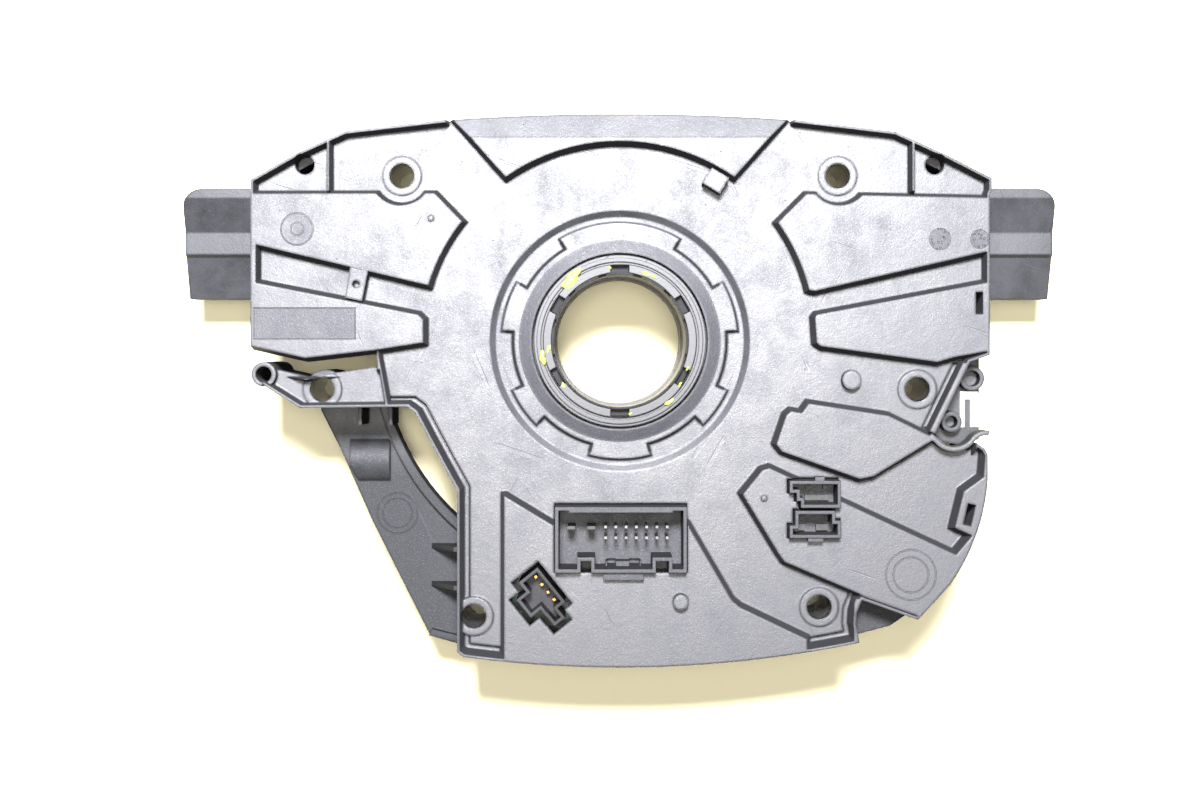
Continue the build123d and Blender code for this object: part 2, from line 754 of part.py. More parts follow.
def circuit_board():
    """Board that fills the housing, with room for the sleeve and for every tube that passes it."""
    face = grown(plate_outline(), -board_inset) - Circle(board_hole_radius)
    for x, y in screw_holes:
        face -= Pos(x, y) * Circle(screw_boss_radius + board_gap)
    for x, y in housing_screw_places:
        face -= Pos(x, y) * Circle(housing_screw_boss + board_gap)
    for x, y in board_screw_places:
        face -= Pos(x, y) * Circle(screw_hole)
    largest = face.faces().sort_by(SortBy.AREA)[-1]
    return raised(largest, board_bottom, board_top)


def screws(places, head_top, tip, head_radius=screw_head_radius, pointing_up=True):
    """Identical screws: a low head with a six-sided recess and a plain shank, all along the axis."""
    head = extrude(Circle(head_radius), amount=screw_head_height)
    drive = extrude(RegularPolygon(head_radius * 0.45, 6), amount=1.2)
    shank = extrude(Circle(screw_shank_radius), amount=-abs(tip - head_top))
    screw = head + shank - Pos(0, 0, screw_head_height - 1.0) * drive
    if pointing_up:
        screw = Rot(180, 0, 0) * screw
    return Part() + [Pos(x, y, head_top) * screw for x, y in places]


def angle_sensor():
    """Fork on the board whose slot the edge of the code disc passes through."""
    body = block(-5, 5, 31.5, 41.5, board_top, code_disc_height + 3.8)
    slot = block(-6, 6, 31, code_disc_radius + 0.8, code_disc_height - sensor_slot_gap,
                 code_disc_height + code_disc_thickness + sensor_slot_gap)
    return body - slot


def code_disc():
    """Slotted disc that turns with the sleeve."""
    disc_face = Circle(code_disc_radius) - Circle(sleeve_outer_radius + disc_fit)
    middle = code_disc_radius - 1.2 - code_slot_length / 2
    slot = Pos(middle, 0) * Rectangle(code_slot_length, code_slot_width)
    slots = [Rot(0, 0, 360 * index / code_slot_count) * slot for index in range(code_slot_count)]
    return raised(disc_face - slots, code_disc_height, code_disc_height + code_disc_thickness)


def cassette_shell():
    """Fixed cup of the clock spring: floor to the rear, round wall, flange with three screw ears."""
    inner = cassette_radius - cassette_wall
    cup = ring(cassette_radius, sleeve_outer_radius + bore_gap, cassette_back - cassette_floor, cassette_back)
    cup += ring(cassette_radius, inner, cassette_front, cassette_back)
    flange = Circle(cassette_flange_radius) & grown(plate_outline(), -body_inset)
    for angle in cassette_ear_angles:
        flange += Pos(*on_circle(cassette_ear_circle, angle)) * Circle(cassette_ear_radius)
    flange -= Circle(inner)
    for angle in cassette_ear_angles:
        flange -= Pos(*on_circle(cassette_ear_circle, angle)) * Circle(screw_hole)
    return cup + raised(flange, front_plate_bottom - cassette_flange_thickness, front_plate_bottom)


def ribbon_cable():
    """Flat cable wound in the cup as a spiral of half circles about two centres."""
    first = spool_radius + 1.3
    last = cassette_radius - cassette_wall - 0.6
    step = (last - first) / (2 * ribbon_turns)
    half = ribbon_thickness / 2
    turns = []
    for turn in range(ribbon_turns):
        radius = first + 2 * step * turn
        turns.append(sector_face(radius - half, radius + half, 0, 180))
        turns.append(Pos(step, 0) * sector_face(radius + step - half, radius + step + half, 180, 360))
    bottom = disc_back + sleeve_flange_thickness + 0.6
    return raised(Sketch() + turns, bottom, bottom + ribbon_width)


def rotor_cover():
    """Front disc with the ribbed hub and the drive pegs that engage the wheel."""
    cover = ring(rotor_disc_radius, bore_radius, disc_front, disc_back)
    cover += ring(hub_radius, hub_radius - hub_wall, 0, disc_front)
    cover += ring(bore_radius + hub_wall, bore_radius, 0, disc_front)
    inner, outer = bore_radius + hub_wall - rib_root, hub_radius - hub_wall + rib_root
    rib = rectangle(inner, outer, -hub_rib_width / 2, hub_rib_width / 2)
    cover += [raised(Rot(0, 0, 360 * index / hub_rib_count) * rib, hub_rib_bottom, disc_front)
              for index in range(hub_rib_count)]
    cover += [disc(drive_peg_radius, 3.0, disc_front, side * drive_peg_circle) for side in (-1, 1)]
    holes = [disc(screw_hole, disc_front - 1, disc_back + 1, x, y) for x, y in rotor_screw_places()]
    return cover - holes


def rotor_sleeve():
    """Turning tube with the winding spool, the shoulder for the code disc and the collar in the dish."""
    sleeve = ring(sleeve_flange_radius, sleeve_inner_radius, disc_back, disc_back + sleeve_flange_thickness)
    spool_top = cassette_back - cassette_floor - 0.5
    sleeve += ring(spool_radius, spool_radius - 2, disc_back, spool_top)
    sleeve += ring(sleeve_outer_radius, sleeve_inner_radius, disc_back, sleeve_top)
    sleeve += ring(sleeve_shoulder_radius, sleeve_inner_radius, code_disc_height - 1.6, code_disc_height)
    collar_top = sleeve_top - collar_step
    sleeve += ring(collar_radius, sleeve_inner_radius, collar_top - collar_length, collar_top)
    pocket = rectangle(sleeve_inner_radius - 0.5, sleeve_inner_radius + lug_depth + lug_fit,
                       -lug_width / 2 - lug_side_gap, lug_width / 2 + lug_side_gap)
    cuts = [raised(Rot(0, 0, lug_angle(index)) * pocket, lug_top - lug_height - lug_fit, sleeve_top + cut_margin)
            for index in range(lug_count)]
    cuts.append(ring(collar_groove_outer, collar_groove_inner, collar_top - collar_groove_depth, collar_top + 1))
    cuts.append(ring(collar_radius + 1, collar_radius - collar_rim_width, collar_top - collar_groove_depth,
                     collar_top + 1))
    cuts += [disc(screw_hole, disc_back - 1, disc_back + sleeve_flange_thickness - 0.1, x, y)
             for x, y in rotor_screw_places()]
    return sleeve - cuts


def driver_ring():
    """Thin castellated ring in the end of the sleeve, with six lugs that lie in the sleeve's pockets."""
    inner = sleeve_inner_radius - driver_fit - driver_wall
    driver = ring(inner + driver_wall, inner, driver_top - driver_length, driver_top)
    gaps = []
    for index in range(lug_count):
        for offset_angle in (-driver_gap_offset, driver_gap_offset):
            middle = lug_angle(index) + offset_angle
            gap = sector_face(inner - 1, inner + 3, middle - driver_gap_angle / 2, middle + driver_gap_angle / 2)
            gaps.append(raised(gap, driver_top - driver_gap_depth, driver_top + cut_margin))
    driver -= gaps
    lug = rectangle(inner + 0.1, sleeve_inner_radius + lug_depth - lug_fit, -lug_width / 2, lug_width / 2)
    lugs = [raised(Rot(0, 0, lug_angle(index)) * lug, lug_top - lug_height, lug_top) for index in range(lug_count)]
    return driver + lugs - disc(inner, driver_top - driver_length - 1, driver_top + 1)


def front_socket(x, y, width, depth):
    """Plug socket under the front disc, open to the front."""
    body = block(x - width / 2, x + width / 2, y - depth / 2, y + depth / 2, front_socket_mouth, disc_front)
    inset = front_socket_wall
    room = block(x - width / 2 + inset, x + width / 2 - inset, y - depth / 2 + inset, y + depth / 2 - inset,
                 front_socket_mouth - 1, front_socket_floor)
    back = y + depth / 2
    key = block(x - 1.2, x + 1.2, back - inset - 0.1, back + 1.2, front_socket_mouth + 2, disc_front)
    return body + key - room


def front_contacts(x, y, count, pitch):
    """Row of contacts that stand on a front socket's floor."""
    bottom = front_socket_floor - front_contact_length
    first = x - pitch * (count - 1) / 2
    return [block(first + pitch * index - 0.5, first + pitch * index + 0.5, y - 0.4, y + 0.4, bottom,
                  front_socket_floor) for index in range(count)]


def stalk_socket(side):
    """Plug socket on the end wall inside a stalk guide, open to the outside."""
    left, right = stalk_socket_back, stalk_socket_back + stalk_socket_depth
    y0, y1 = stalk_socket_y
    z0, z1 = stalk_socket_z
    body = block(left, right, y0, y1, z0, z1)
    inset = stalk_socket_wall
    body -= block(left + inset, right + 1, y0 + inset, y1 - inset, z0 + inset, z1 - inset)
    return body if side > 0 else mirror(body, about=Plane.YZ)


def stalk_contacts():
    """Blades of both stalk sockets."""
    left = stalk_socket_back + stalk_socket_wall
    middle_y = sum(stalk_socket_y) / 2
    middle_z = sum(stalk_socket_z) / 2
    blades = []
    for step in (-1.5, -0.5, 0.5, 1.5):
        y = middle_y + 3.4 * step
        blades.append(block(left, left + 2.8, y - 0.8, y + 0.8, middle_z - 0.4, middle_z + 0.4))
    return Part() + blades + [mirror(blade, about=Plane.YZ) for blade in blades]


def main_connector_shell():
    """Keyed shell of the main connector with its latch window and latch lug."""
    left, right = main_connector_left, main_connector_right
    bottom, top = main_connector_bottom, main_connector_top
    rim = connector_rim_height
    floor = main_connector_floor
    shell = block(left, right, bottom, top, board_top, rim)
    room = block(left + connector_wall, right - connector_wall, bottom + connector_wall, top - 1.4, floor, rim + 1)
    for inner_left in (left + connector_wall, right - connector_wall - 2.6):
        room += block(inner_left, inner_left + 2.6, top - 1.5, top - connector_wall, floor, rim + 1)
    for key_left, key_right in main_connector_keys:
        room -= block(key_left, key_right, bottom, main_connector_key_top, floor - 1, rim + 2)
    shell -= room
    for key_left, key_right in main_connector_keys:
        shell -= block(key_left + connector_wall, key_right - connector_wall, bottom - 1,
                       main_connector_key_top - connector_wall, plate_top - 2, rim + 1)
    ramp = block(-3.6, 5.3, bottom + connector_wall - 0.1, bottom + connector_wall + 1.2, floor - 0.1, floor + 6.5)
    windows = [block(x0, x1, bottom + connector_wall, bottom + connector_wall + 1.3, floor - 2.0, floor + 7)
               for x0, x1 in ((-3.2, -1.0), (2.4, 5.0))]
    lug = block(-4.2, 5.9, bottom - 1.95, bottom + 0.1, rim - 3.4, rim - 1.4)
    return shell + ramp - windows + lug


def square_pins(places, size, bottom, top):
    """Upright square pins."""
    return [block(x - size / 2, x + size / 2, y - size / 2, y + size / 2, bottom, top) for x, y in places]


def main_connector_pins():
    """Two rows of seven square pins, their tails through the board."""
    places = [(first_pin_x + pin_pitch * index, y) for index in range(pin_columns) for y in pin_rows_y]
    return Part() + square_pins(places, pin_size, board_bottom - pin_tail, pin_tip_height)


def power_blades():
    """Two flat blades beside the pins."""
    half_width, half_thickness = blade_width / 2, blade_thickness / 2
    return Part() + [block(x - half_width, x + half_width, blade_y - half_thickness, blade_y + half_thickness,
                           board_bottom - pin_tail, pin_tip_height) for x in blade_x]


def small_connector_shell():
    """Turned four-way header, open to the rear."""
    outline = small_connector_outline()
    shell = raised(outline, board_top, small_connector_rim_height)
    shell -= raised(grown(outline, -small_connector_wall), small_connector_floor, small_connector_rim_height + 1)
    return small_connector_frame() * shell


def small_connector_pins():
    """Four pins in a row, their tails through the board."""
    first = 0.4 - small_pin_pitch * (small_pin_count - 1) / 2
    places = [(first + small_pin_pitch * index, -0.6) for index in range(small_pin_count)]
    pins = Part() + square_pins(places, pin_size, board_bottom - pin_tail, small_pin_tip_height)
    return small_connector_frame() * pins


def stepped_socket(steps, tab):
    """Switch socket with stepped sides, given as left, right, front and back of each step."""
    body = Part() + [block(*step, board_top, connector_rim_height) for step in steps]
    face = Sketch() + [rectangle(*step) for step in steps]
    room = raised(grown(face, -socket_wall), socket_floor, connector_rim_height + 1)
    return body - room + block(*tab, connector_rim_height - 3.2, connector_rim_height - 0.4)


def upper_switch_socket():
    """Socket for the upper switch plug, stepped at its left side."""
    return stepped_socket(upper_socket_steps(),
                          (48.4, 50.8, upper_socket_top - 0.1, upper_socket_top + socket_tab_reach))


def lower_switch_socket():
    """Socket for the lower switch plug, stepped at both sides."""
    return stepped_socket(lower_socket_steps(),
                          (46.7, 50.5, lower_socket_bottom - socket_tab_reach, lower_socket_bottom + 0.1))


def switch_socket_contacts():
    """Low contacts on the floors of both switch sockets."""
    top = socket_floor + contact_height
    bars = [(46.6, 52.6, -40.1, -38.7), (46.8, 48.0, -37.3, -36.4), (51.2, 52.4, -37.3, -36.4),
            (44.8, 46.6, -47.7, -46.1), (49.4, 52.4, -47.7, -46.1)]
    return Part() + [block(*bar, socket_floor, top) for bar in bars]


airbag_contacts = []
for x, y in airbag_socket_places:
    airbag_contacts += front_contacts(x, y, airbag_contact_count, airbag_contact_pitch)
wheel_contacts = front_contacts(*wheel_socket_place, wheel_contact_count, wheel_contact_pitch)

nodes = {
    "rear_housing": rear_housing(),
    "front_housing": front_housing(),
    "spring_clip": spring_clip(),
    "circuit_board": circuit_board(),
    "housing_screws": screws(housing_screw_places, front_plate_bottom, housing_screw_tip),
    "board_screws": screws(board_screw_places, board_top, board_top - 9.0, pointing_up=False),
    "angle_sensor": angle_sensor(),
    "code_disc": code_disc(),
    "cassette_shell": cassette_shell(),
    "cassette_screws": screws([on_circle(cassette_ear_circle, angle) for angle in cassette_ear_angles],
                              front_plate_bottom - cassette_flange_thickness, cassette_boss_top - 1.0),
    "ribbon_cable": ribbon_cable(),
    "rotor_cover": rotor_cover(),
    "rotor_sleeve": rotor_sleeve(),
    "driver_ring": driver_ring(),
    "rotor_screws": screws(rotor_screw_places(), disc_front, disc_back + 2.1, 2.4),
    "right_airbag_socket": front_socket(*airbag_socket_places[0], *airbag_socket_size),
    "left_airbag_socket": front_socket(*airbag_socket_places[1], *airbag_socket_size),
    "airbag_socket_contacts": Part() + airbag_contacts,
    "wheel_socket": front_socket(*wheel_socket_place, *wheel_socket_size),
    "wheel_socket_contacts": Part() + wheel_contacts,
    "left_stalk_socket": stalk_socket(-1),
    "right_stalk_socket": stalk_socket(1),
    "stalk_socket_contacts": stalk_contacts(),
    "main_connector_shell": main_connector_shell(),
    "main_connector_pins": main_connector_pins(),
    "power_blades": power_blades(),
    "small_connector_shell": small_connector_shell(),
    "small_connector_pins": small_connector_pins(),
    "upper_switch_socket": upper_switch_socket(),
    "lower_switch_socket": lower_switch_socket(),
    "switch_socket_contacts": switch_socket_contacts(),
}

os.makedirs("parts", exist_ok=True)
for name, solid in nodes.items():
    export_step(solid, f"parts/{name}.step")
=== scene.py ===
import math
from dataclasses import dataclass

import bpy
import numpy as np
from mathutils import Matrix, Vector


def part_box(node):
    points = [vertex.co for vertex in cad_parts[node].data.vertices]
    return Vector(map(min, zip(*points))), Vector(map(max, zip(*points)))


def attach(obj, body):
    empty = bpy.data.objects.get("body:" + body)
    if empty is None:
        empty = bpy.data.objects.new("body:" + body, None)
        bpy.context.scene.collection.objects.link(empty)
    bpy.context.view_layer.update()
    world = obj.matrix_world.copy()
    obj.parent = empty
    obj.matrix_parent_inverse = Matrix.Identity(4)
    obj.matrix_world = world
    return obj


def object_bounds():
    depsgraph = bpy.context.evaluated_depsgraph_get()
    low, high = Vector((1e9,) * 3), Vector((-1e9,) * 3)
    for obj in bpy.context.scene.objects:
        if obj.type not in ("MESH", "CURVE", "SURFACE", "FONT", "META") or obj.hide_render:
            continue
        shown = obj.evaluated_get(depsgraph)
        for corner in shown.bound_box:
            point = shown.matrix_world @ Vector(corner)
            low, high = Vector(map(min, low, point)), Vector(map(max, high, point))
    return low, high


bl_info = {
    "name": "Clock spring finish",
    "version": (1, 0, 0),
    "blender": (4, 5, 0),
    "location": "3D View > Sidebar > Clock spring",
    "description": "Plastics, metals, grease and studio for a steering-column module with a clock spring",
    "category": "Object",
}

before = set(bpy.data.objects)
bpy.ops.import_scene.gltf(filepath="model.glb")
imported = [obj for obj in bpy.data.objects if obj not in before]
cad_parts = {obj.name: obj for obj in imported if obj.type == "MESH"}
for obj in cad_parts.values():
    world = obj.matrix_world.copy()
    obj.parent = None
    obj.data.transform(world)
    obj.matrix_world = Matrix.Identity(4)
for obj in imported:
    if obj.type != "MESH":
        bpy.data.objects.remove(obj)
cad_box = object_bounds()

MM = 0.001

# Places on the two housings, in millimetres. A ring or disc is given by x, y and its radius or radii.
SCREW_HOLES = ((-54.9, 41.6), (54.9, 41.6), (-75.0, -12.2), (75.0, -12.2), (-36.8, -69.4), (50.25, -67.1))
SCREW_HOLE_RADIUS = 3.2
FROSTED_FIELD = {"left": -91.6, "right": -66.2, "front": 0.4, "back": 8.2}
SMALL_RINGS = (-80.75, 27.95, (4.0, 1.6))
LARGE_RINGS = (72.75, -58.55, (6.25, 4.4))
BRACKET_RINGS = (-58.4, -45.4, (5.3, 3.9))
DOTTED_DISCS = ((80.0, 25.45, 2.75), (90.0, 25.45, 2.4))
DISH_LIP_RADIUS = 25.4
DISH_SLOPE_RADIUS = 31.2

# Levels and borders on the two housings, in metres as the shader has them.
FIELD_LEVEL = 56.5 * MM
DISH_LIP_LEVEL = 50.0 * MM
DISH_SLOPE_HALF_WIDTH = 2.2 * MM
TOP_SLOPE_START = 50.9 * MM
TOP_SLOPE_LEVEL = 54.1 * MM
BRACKET_MIDDLE = 25.0 * MM
# Below this start the bracket grows rougher and darker. The darkening is painted shade.
BRACKET_DULL_AND_SHADED_START = -36.0 * MM
BRACKET_DULL_AND_SHADED_WIDTH = 16.0 * MM
SOFT_BORDER = 0.08 * MM
RING_HALF_WIDTH = 0.16 * MM
FIELD_LINE_HALF_WIDTH = 0.12 * MM

# The smears of grease on the collar: x, y, length and width in millimetres, and the turn in degrees.
SMEARS = (
    (-12.2, 15.4, 6.2, 3.0, 38),
    (-19.4, -4.2, 3.2, 1.9, 100),
    (-17.9, -2.0, 2.2, 0.9, 80),
    (-2.6, 18.3, 1.2, 0.6, 175),
    (7.2, 16.6, 3.8, 1.1, 155),
    (12.4, -15.4, 2.4, 1.3, 40),
    (-14.2, -11.2, 1.7, 0.9, 130),
    (2.6, -18.3, 1.1, 0.6, 8),
    (15.1, -11.0, 1.4, 0.8, 55),
    (17.0, -6.9, 1.3, 0.7, 70),
)

# A smear lies a little below the collar's top, and a wide one lower, in millimetres.
WIDE_SMEAR = 1.8
WIDE_SMEAR_DROP = 0.25
SMEAR_DROP = 0.05

# The stage, in metres. The sensor and the lens are in millimetres, and the picture's shift is in pixels
# of the photo, which is 1200 wide.
FLOOR_HALF = 2.0
FLOOR_DROP = 0.2 * MM
KEY_PLACE = (-0.02, 0.31, 1.02)
KEY_TARGET = (0.0, 0.0, 0.04)
SKY_PLACE = (-0.01, -0.01, 1.15)
SKY_TARGET = (0.0, 0.0, 0.0)
CAMERA_PLACE = (-0.0055, -0.0023, 0.607)
SENSOR_WIDTH = 36.0
LENS = 66.0
PICTURE_WIDTH = 1200
PICTURE_SHIFT = (2, -50)


class Value:
    """A number that changes over a surface. It wraps a socket, and arithmetic on it adds Math nodes."""

    def __init__(self, finish, socket):
        self.finish = finish
        self.socket = socket

    def math(self, operation, first, second=0.0, clamp=False):
        """A Math node on two values or numbers."""
        settings = {"operation": operation, "use_clamp": clamp}
        node = self.finish.node("ShaderNodeMath", settings, {0: first, 1: second})
        return Value(self.finish, node.outputs[0])

    def __add__(self, other):
        return self.math("ADD", self, other)

    __radd__ = __add__

    def __sub__(self, other):
        return self.math("SUBTRACT", self, other)

    def __rsub__(self, other):
        return self.math("SUBTRACT", other, self)

    def __mul__(self, other):
        return self.math("MULTIPLY", self, other)

    __rmul__ = __mul__

    def __truediv__(self, other):
        return self.math("DIVIDE", self, other)

    def __pow__(self, other):
        return self.math("POWER", self, other)

    def __abs__(self):
        return self.math("ABSOLUTE", self)

    def or_larger(self, other):
        """The larger of two values."""
        return self.math("MAXIMUM", self, other)

    def clamped(self):
        """The value held between 0 and 1."""
        return self.math("ADD", self, 0.0, clamp=True)

    def above(self, edge, softness):
        """0 below the edge and 1 above it, with a straight ramp as wide as the softness."""
        return ((self - edge) / softness).clamped()

    def inside(self, softness=SOFT_BORDER):
        """1 where a signed distance is negative and 0 outside, with a soft border."""
        return (0.5 - self / softness).clamped()

    def line(self, half_width, softness=SOFT_BORDER):
        """1 on the line where a signed distance is zero, and on both its sides as far as the half width."""
        return (abs(self) - half_width).inside(softness)


class Finish:
    """One procedural material: its node tree, its shader and the patterns that feed it."""

    def __init__(self, name, **constants):
        self.material = bpy.data.materials.new(name)
        self.material.use_nodes = True
        self.tree = self.material.node_tree
        self.shader = self.tree.nodes["Principled BSDF"]
        for socket, value in constants.items():
            self.shader.inputs[socket.replace("_", " ")].default_value = value
        self.place = self.node("ShaderNodeTexCoord").outputs["Object"]
        parts = self.node("ShaderNodeSeparateXYZ", None, {"Vector": self.place})
        self.x, self.y, self.z = [Value(self, socket) for socket in parts.outputs]
        self.rounded = None
        self.steep = None

    def node(self, kind, settings=None, sockets=None):
        """Any node: its settings first, then the values or links of its sockets."""
        made = self.tree.nodes.new(kind)
        for name, value in (settings or {}).items():
            setattr(made, name, value)
        for name, value in (sockets or {}).items():
            source = value.socket if isinstance(value, Value) else value
            if isinstance(source, bpy.types.NodeSocket):
                self.tree.links.new(source, made.inputs[name])
            else:
                made.inputs[name].default_value = source
        return made

    def vector(self, operation, first, second=(0.0, 0.0, 0.0)):
        """The result of a Vector Math node on two vectors."""
        sockets = {0: first, 1: second}
        return self.node("ShaderNodeVectorMath", {"operation": operation}, sockets).outputs["Vector"]

    def scaled_vector(self, vector, share):
        """A vector times a value."""
        sockets = {0: vector, "Scale": share}
        return self.node("ShaderNodeVectorMath", {"operation": "SCALE"}, sockets).outputs["Vector"]

    def stretched(self, x, y, z, place=None):
        """The place on the object with each axis scaled, for patterns that run one way."""
        return self.vector("MULTIPLY", place or self.place, (x, y, z))

    def noise(self, size, detail=2.0, roughness=0.5, place=None, distortion=0.0):
        """Cloudy noise whose features are about as large as the size, in metres."""
        sockets = {"Vector": place or self.place, "Scale": 1.0 / size, "Detail": detail,
                   "Roughness": roughness, "Distortion": distortion}
        return Value(self, self.node("ShaderNodeTexNoise", None, sockets).outputs["Fac"])

    def cells(self, size):
        """Distance to the nearest of many scattered points, which stand about one size apart."""
        sockets = {"Vector": self.place, "Scale": 1.0 / size}
        return Value(self, self.node("ShaderNodeTexVoronoi", None, sockets).outputs["Distance"])

    def blend(self, factor, low, high):
        """Colour that runs from low to high as the factor goes from 0 to 1."""
        node = self.node("ShaderNodeMix", {"data_type": "RGBA"})
        self.tree.links.new(factor.socket, node.inputs["Factor"])
        for name, colour in (("A", low), ("B", high)):
            socket = [found for found in node.inputs if found.name == name and found.type == "RGBA"][0]
            if isinstance(colour, bpy.types.NodeSocket):
                self.tree.links.new(colour, socket)
            else:
                socket.default_value = (*colour[:3], 1.0)
        return [found for found in node.outputs if found.type == "RGBA"][0]

    def round_edges(self, radius):
        """Softens every edge by a radius in metres, notes how steep each face is, 0 to 1, and gives how far
        each point lies into an edge, 0 to 1."""
        self.rounded = self.node("ShaderNodeBevel", {"samples": 4}, {"Radius": radius}).outputs["Normal"]
        flat = self.node("ShaderNodeNewGeometry").outputs["Normal"]
        upright = self.node("ShaderNodeSeparateXYZ", None, {"Vector": flat}).outputs["Z"]
        self.steep = 1.0 - Value(self, upright).above(0.3, 0.5)
        sockets = {0: self.rounded, 1: flat}
        match = self.node("ShaderNodeVectorMath", {"operation": "DOT_PRODUCT"}, sockets)
        return (6.0 * (1.0 - Value(self, match.outputs["Value"]))).clamped()

    def lift_normals(self, share):
        """Turns the softened normals towards straight up by a share that changes over the surface."""
        level = self.scaled_vector((0.0, 0.0, 1.0), share)
        kept = self.scaled_vector(self.rounded, 1.0 - share)
        self.rounded = self.vector("NORMALIZE", self.vector("ADD", level, kept))
        # Where the normals are lifted, the painted shade on steep faces is taken off too.
        self.steep = self.steep * (1.0 - share).above(0.5, 0.5)

    def scratches(self, turn):
        """Sparse thin lines that run one way, turned in the plane by an angle in radians. They stand in
        patches, which are larger for larger turns."""
        turned = self.node("ShaderNodeMapping", None, {"Vector": self.place, "Rotation": (0.0, 0.0, turn)})
        drawn_out = self.stretched(1.0, 0.04, 1.0, turned.outputs[0])
        lines = self.noise(1.6 * MM, detail=0.0, place=drawn_out).above(0.79, 0.02)
        patches = self.noise((10.0 + 3.0 * turn) * MM, detail=1.0).above(0.55, 0.08)
        return lines * patches

    def circle(self, x, y, radius):
        """Signed distance in the plane from a circle, all in millimetres but the result in metres."""
        across = self.x - x * MM
        along = self.y - y * MM
        return (across * across + along * along) ** 0.5 - radius * MM

    def oblong(self, left, right, front, back):
        """Signed distance in the plane from an upright rectangle given in millimetres, in metres. It is the
        larger of the distances from its sides and from its ends."""
        across = abs(self.x - (left + right) / 2 * MM) - (right - left) / 2 * MM
        along = abs(self.y - (front + back) / 2 * MM) - (back - front) / 2 * MM
        return across.or_larger(along)

    def rings(self, x, y, radii):
        """1 on thin rings about one point, all in millimetres."""
        return sum(self.circle(x, y, radius).line(RING_HALF_WIDTH) for radius in radii)

    def feed(self, socket, value):
        """Links a varying value or colour to one of the shader's own sockets."""
        source = value.socket if isinstance(value, Value) else value
        self.tree.links.new(source, self.shader.inputs[socket])

    def emboss(self, height, depth, strength):
        """Raises the surface by the height pattern, as deep as the depth in metres."""
        sockets = {"Strength": strength, "Distance": depth, "Height": height}
        if self.rounded:
            sockets["Normal"] = self.rounded
        node = self.node("ShaderNodeBump", None, sockets)
        self.feed("Normal", node.outputs["Normal"])


@dataclass
class Marks:
    """How much rougher, deeper, duller and smoother a moulding's own marks make it. The duller marks also
    carry painted shade, and the smoother ones painted light. Each is a Value or a number, and 0 where there
    is no mark."""

    rougher: object = 0.0
    sunk: object = 0.0
    dull_and_shaded: object = 0.0
    polished_and_painted_light: object = 0.0


class Moulding(Finish):
    """A glass-filled moulding: the patterns that its colour, its roughness and its relief share."""

    def __init__(self, name, grain, marks, specular, edge_radius):
        super().__init__(name, Specular_IOR_Level=specular)
        self.edge = self.round_edges(edge_radius)
        self.marks = marks(self) if marks else Marks()
        self.flow = self.noise(30.0 * MM, detail=4.0, roughness=0.6, distortion=0.4)
        self.patch = self.noise(7.0 * MM, detail=3.0, roughness=0.65, distortion=0.6)
        self.streak = self.noise(4.0 * MM, detail=3.0, place=self.stretched(1.0, 0.25, 1.0))
        self.fine = self.noise(grain, detail=3.0, roughness=0.75)
        self.coarse = self.noise(3.2 * grain, detail=2.0)
        self.sparkle = self.noise(0.7 * grain, detail=0.0).above(0.62, 0.12)
        self.scratch = self.scratches(0.5) + self.scratches(1.9) + self.scratches(2.7)
        specks = (self.cells(3.0 * MM) - 0.075).inside(0.02)
        self.dust = specks * self.noise(9.0 * MM, detail=2.0).above(0.5, 0.05)

    def tone(self, dark, light, fleck, worn):
        """Flow marks between dark and light, painted shade on steep faces and on duller marks, flecks of
        fibre, then rubbed edges, scratches, dust and the painted light of smooth bores in the worn tone."""
        marks = self.marks
        clouds = (0.5 * self.flow + 0.3 * self.patch + 0.2 * self.streak).above(0.35, 0.3)
        # Painted shade: steep faces, and the duller marks, are blended towards a much darker tone.
        shaded = (0.8 * self.steep + 0.4 * marks.dull_and_shaded).clamped()
        flecks = (0.4 * self.sparkle * (1.0 - self.steep) + 0.5 * marks.rougher * self.fine).clamped()
        pale = 0.25 * self.edge * self.coarse + 0.4 * self.scratch + self.dust + 0.9 * marks.polished_and_painted_light
        tone = self.blend(clouds, dark, light)
        tone = self.blend(shaded, tone, scaled(dark, 0.2))
        tone = self.blend(flecks, tone, fleck)
        return self.blend(pale.clamped(), tone, worn)

    def roughness(self, shine):
        """Roughness about the shine: clouded by the patterns, more on marks, dust and steep faces, less on
        flecks and smooth bores."""
        marks = self.marks
        rough = shine + 0.26 * (self.flow - 0.5) + 0.26 * (self.patch - 0.5)
        rough = rough + 0.24 * (self.fine - 0.5) + 0.12 * (self.streak - 0.5)
        rough = rough + 0.16 * marks.rougher + 0.3 * self.dust + 0.4 * self.steep
        rough = rough - 0.1 * self.sparkle + 0.3 * marks.dull_and_shaded - 0.36 * marks.polished_and_painted_light
        return rough.clamped()

    def relief(self):
        """The etched grain, coarser on rough marks, with the sunk marks and the scratches cut into it."""
        grain = (0.42 + 0.9 * self.marks.rougher) * (0.6 * self.fine + 0.38 * self.coarse)
        return grain - 2.2 * self.marks.sunk - 0.3 * self.scratch


def scaled(colour, share):
    """A colour times a number."""
    return tuple(share * part for part in colour)


def moulded_plastic(name, tones, grain, shine, marks=None, specular=0.5, edge_radius=0.8 * MM):
    """Glass-filled moulding. The tones are dark, light, fleck and worn, and the marks function gives what is
    rougher, sunk, duller with painted shade and polished with painted light."""
    finish = Moulding(name, grain, marks, specular, edge_radius)
    finish.feed("Base Color", finish.tone(*tones))
    finish.feed("Roughness", finish.roughness(shine))
    finish.emboss(finish.relief(), depth=0.16 * MM, strength=0.8)
    return finish.material


def smooth_bores_painted_light(finish):
    """1 on the walls of the screw holes, which are smooth, are left out of the painted shade on steep faces
    and are painted paler in the worn tone as painted light.
    """
    bores = sum(finish.circle(x, y, SCREW_HOLE_RADIUS).inside() for x, y in SCREW_HOLES)
    finish.steep = finish.steep * (1.0 - bores)
    return bores


